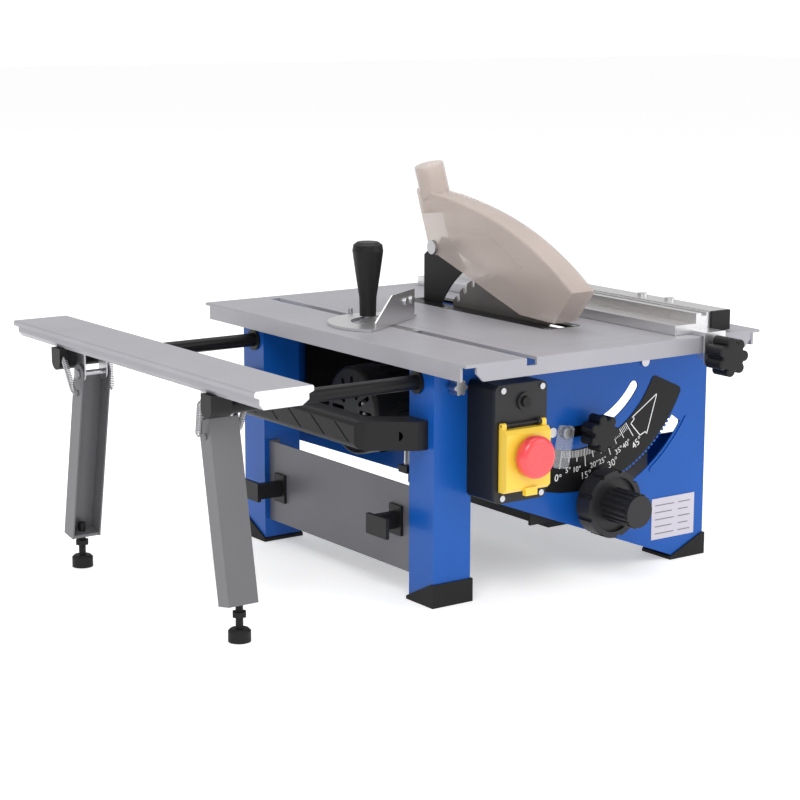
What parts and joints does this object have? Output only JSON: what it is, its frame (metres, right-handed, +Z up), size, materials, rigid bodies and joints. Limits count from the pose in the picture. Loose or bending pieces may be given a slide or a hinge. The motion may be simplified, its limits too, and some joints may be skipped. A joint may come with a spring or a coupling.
{
  "type": "table saw",
  "caption": "Benchtop table saw with a tilting blade under a guard, rip fence, miter gauge and a sliding side extension on folding legs.",
  "frame": {"origin": "on the floor, under the middle of the whole machine's outline", "axes": "+Z up; the switch and scale side faces -Y; +X to the right of someone facing that side; the sliding extension is on the -X side"},
  "size_m": [0.5976, 0.503, 0.4],
  "materials": {
    "table_paint": "satin",
    "blue_paint": "gloss",
    "grey_paint": "satin",
    "black_steel": "satin",
    "steel": "brushed",
    "blade_steel": "ground",
    "aluminium": "extruded",
    "cast": "cast",
    "black_plastic": "moulded",
    "grey_plastic": "moulded",
    "black_rubber": "matt",
    "yellow_plastic": "gloss",
    "red_plastic": "gloss",
    "green_plastic": "gloss",
    "clear_plastic": "clear",
    "smoked_plastic": "smoked"
  },
  "bodies": {
    "stand": {"table_top": "table_paint", "centre_plate": "table_paint", "throat_insert": "black_steel", "screws": "steel", "front_frame": "blue_paint", "rear_frame": "blue_paint", "left_side_panel": "grey_paint", "right_side_panel": "grey_paint", "foot_caps": "black_rubber", "tilt_scale": "black_steel", "rating_plate": "aluminium", "carry_handle": "black_plastic", "cord_hooks": "black_plastic", "tube_bushings": "black_plastic", "cable_gland": "black_plastic", "switch_box": "black_plastic", "switch_lid": "grey_plastic"},
    "start": {"start_button": "green_plastic"},
    "stop": {"stop_button": "red_plastic"},
    "reset": {"reset_button": "black_plastic"},
    "flap": {"switch_flap": "yellow_plastic"},
    "mushroom": {"stop_mushroom": "red_plastic"},
    "tube_lock": {"tube_lock_knob": "steel"},
    "tilt_lock": {"tilt_lock_knob": "black_plastic"},
    "extension": {"extension_plate": "table_paint", "slide_tubes": "black_steel", "tube_brackets": "black_plastic", "hinge_brackets": "steel", "leg_springs": "steel"},
    "front_leg": {"front_leg": "grey_paint"},
    "rear_leg": {"rear_leg": "grey_paint"},
    "front_foot": {"front_level_foot": "black_rubber"},
    "rear_foot": {"rear_level_foot": "black_rubber"},
    "tilt_unit": {"tilt_frame": "black_steel", "blade_case": "black_steel", "guide_rods": "steel", "tilt_pointer": "clear_plastic", "riving_knife": "black_steel", "tilt_bolts": "steel"},
    "guard": {"guard_shell": "smoked_plastic"},
    "lift_unit": {"gear_case": "cast", "arbor_bearings": "steel", "motor_housing": "black_plastic", "motor_end_cap": "black_plastic"},
    "arbor_unit": {"saw_blade": "blade_steel", "arbor": "steel", "drive_gear": "steel", "arbor_nut": "steel"},
    "rotor": {"armature": "steel"},
    "crank": {"handwheel": "grey_plastic", "handwheel_shaft": "steel"},
    "fence": {"rip_fence": "aluminium", "fence_tube": "aluminium", "fence_end_caps": "black_plastic", "fence_clamp": "aluminium"},
    "fence_lock": {"fence_knob": "black_plastic"},
    "miter": {"miter_bar": "steel"},
    "miter_swivel": {"miter_head": "aluminium", "miter_fence": "aluminium"},
    "miter_grip": {"miter_handle": "black_plastic"}
  },
  "joints": [
    {"name": "start_press", "type": "slide", "parent": "stand", "child": "start", "axis": [0, 1, 0], "range_m": [0, 0.003], "stiffness_N_per_m": 400, "springref_m": -0.003},
    {"name": "stop_press", "type": "slide", "parent": "stand", "child": "stop", "axis": [0, 1, 0], "range_m": [0, 0.003], "stiffness_N_per_m": 400, "springref_m": -0.003},
    {"name": "reset_press", "type": "slide", "parent": "stand", "child": "reset", "axis": [0, 1, 0], "range_m": [0, 0.003], "stiffness_N_per_m": 400, "springref_m": -0.003},
    {"name": "flap_open", "type": "hinge", "parent": "stand", "child": "flap", "pos_m": [0.00375, -0.2051, 0.181], "axis": [-1, 0, 0], "range_deg": [0, 100]},
    {"name": "mushroom_press", "type": "slide", "parent": "flap", "child": "mushroom", "axis": [0, 1, 0], "range_m": [0, 0.003], "stiffness_N_per_m": 800, "springref_m": -0.003},
    {"name": "tube_lock_turn", "type": "hinge", "parent": "stand", "child": "tube_lock", "pos_m": [-0.04375, -0.1635, 0.2144], "axis": [0, 1, 0], "range_deg": [-180, 0]},
    {"name": "tilt_lock_turn", "type": "hinge", "parent": "tilt_unit", "child": "tilt_lock", "pos_m": [0.12253, -0.1735, 0.15296], "axis": [0, 1, 0], "range_deg": [-180, 0]},
    {"name": "extension_slide", "type": "slide", "parent": "stand", "child": "extension", "axis": [1, 0, 0], "range_m": [0, 0.11]},
    {"name": "front_leg_fold", "type": "hinge", "parent": "extension", "child": "front_leg", "pos_m": [-0.26875, -0.1055, 0.206], "axis": [1, 0, 0], "range_deg": [0, 100]},
    {"name": "rear_leg_fold", "type": "hinge", "parent": "extension", "child": "rear_leg", "pos_m": [-0.26875, 0.1385, 0.206], "axis": [1, 0, 0], "range_deg": [-100, 0]},
    {"name": "front_foot_turn", "type": "hinge", "parent": "front_leg", "child": "front_foot", "pos_m": [-0.26875, -0.1385, 0.02], "axis": [0, 0, 1], "continuous": true},
    {"name": "rear_foot_turn", "type": "hinge", "parent": "rear_leg", "child": "rear_foot", "pos_m": [-0.26875, 0.1715, 0.02], "axis": [0, 0, 1], "continuous": true},
    {"name": "blade_tilt", "type": "hinge", "parent": "stand", "child": "tilt_unit", "pos_m": [0.10925, 0.0165, 0.244], "axis": [0, -1, 0], "range_deg": [0, 45]},
    {"name": "guard_lift", "type": "hinge", "parent": "tilt_unit", "child": "guard", "pos_m": [0.13725, 0.101, 0.3085], "axis": [-1, 0, 0], "range_deg": [0, 45]},
    {"name": "blade_lift", "type": "slide", "parent": "tilt_unit", "child": "lift_unit", "axis": [0, 0, 1], "range_m": [-0.042, 0]},
    {"name": "arbor_spin", "type": "hinge", "parent": "lift_unit", "child": "arbor_unit", "pos_m": [0.13725, 0.0045, 0.183], "axis": [1, 0, 0], "continuous": true},
    {"name": "motor_spin", "type": "hinge", "parent": "lift_unit", "child": "rotor", "pos_m": [0.05225, 0.0405, 0.156], "axis": [1, 0, 0], "continuous": true},
    {"name": "handwheel_turn", "type": "hinge", "parent": "tilt_unit", "child": "crank", "pos_m": [0.13307, -0.1835, 0.08073], "axis": [0, 1, 0], "range_deg": [-241, 0]},
    {"name": "fence_slide", "type": "slide", "parent": "stand", "child": "fence", "axis": [1, 0, 0], "range_m": [-0.035, 0.03]},
    {"name": "fence_knob_turn", "type": "hinge", "parent": "fence", "child": "fence_lock", "pos_m": [0.23225, -0.2335, 0.228], "axis": [0, 1, 0], "range_deg": [-180, 0]},
    {"name": "miter_slide", "type": "slide", "parent": "stand", "child": "miter", "axis": [0, 1, 0], "range_m": [-0.18, 0.14]},
    {"name": "miter_swivel", "type": "hinge", "parent": "miter", "child": "miter_swivel", "pos_m": [0.00275, 0.0225, 0.246], "axis": [0, 0, 1], "range_deg": [-91, 29]},
    {"name": "miter_grip_turn", "type": "hinge", "parent": "miter", "child": "miter_grip", "pos_m": [0.00275, 0.0525, 0.26], "axis": [0, 0, 1], "range_deg": [0, 180]}
  ],
  "couplings": [
    {"joint": "motor_spin", "follows": "arbor_spin", "ratio": -5},
    {"joint": "handwheel_turn", "follows": "blade_lift", "rad_per_m": 100}
  ]
}
